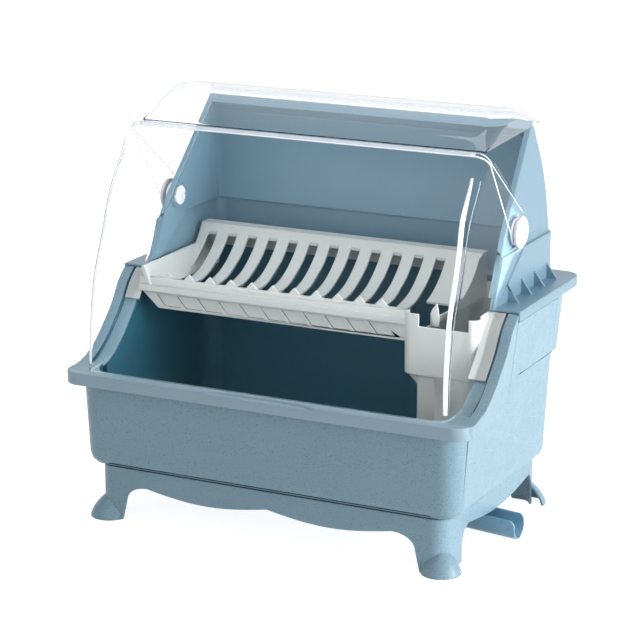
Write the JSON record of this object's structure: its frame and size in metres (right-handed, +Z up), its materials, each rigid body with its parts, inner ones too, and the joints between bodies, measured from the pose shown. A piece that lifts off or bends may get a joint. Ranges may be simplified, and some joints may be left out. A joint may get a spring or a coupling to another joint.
{
  "type": "dish rack",
  "caption": "Plastic dish rack: footed stand, draining tub with swivel spout, slotted plate rack with cutlery well, and a hood with a clear flip-up door.",
  "frame": {"origin": "on the table, under the middle of the whole rack", "axes": "+Z up, -Y is the front with the door, +X is the right side with the cutlery well and the spout"},
  "size_m": [0.4408, 0.3, 0.4237],
  "materials": {
    "speckled_blue": "satin, with fine dark specks",
    "hood_blue": "smooth, light gloss",
    "spout_blue": "smooth, light gloss",
    "rack_white": "satin",
    "knob_white": "smooth, light gloss",
    "clear": "clear and glossy"
  },
  "bodies": {
    "base": {"stand": "speckled_blue", "tub": "speckled_blue", "plate_rack": "rack_white", "bowl_grid": "rack_white"},
    "hood": {"hood": "hood_blue", "top_cover": "clear", "pivot_knob_left": "knob_white", "pivot_knob_right": "knob_white", "pivot_washer_left": "knob_white", "pivot_washer_right": "knob_white", "pivot_screw_left": "knob_white", "pivot_screw_right": "knob_white"},
    "door": {"door": "clear"},
    "spout": {"drain_spout": "spout_blue"}
  },
  "joints": [
    {"name": "hood_lift", "type": "slide", "parent": "base", "child": "hood", "axis": [0, 0, 1], "range_m": [0, 0.12]},
    {"name": "door_hinge", "type": "hinge", "parent": "hood", "child": "door", "pos_m": [0, 0.0335, 0.3035], "axis": [-1, 0, 0], "range_deg": [0, 125]},
    {"name": "spout_swivel", "type": "hinge", "parent": "base", "child": "spout", "pos_m": [0.112, -0.007, 0.051], "axis": [0, 0, 1], "range_deg": [-35, 35]}
  ]
}
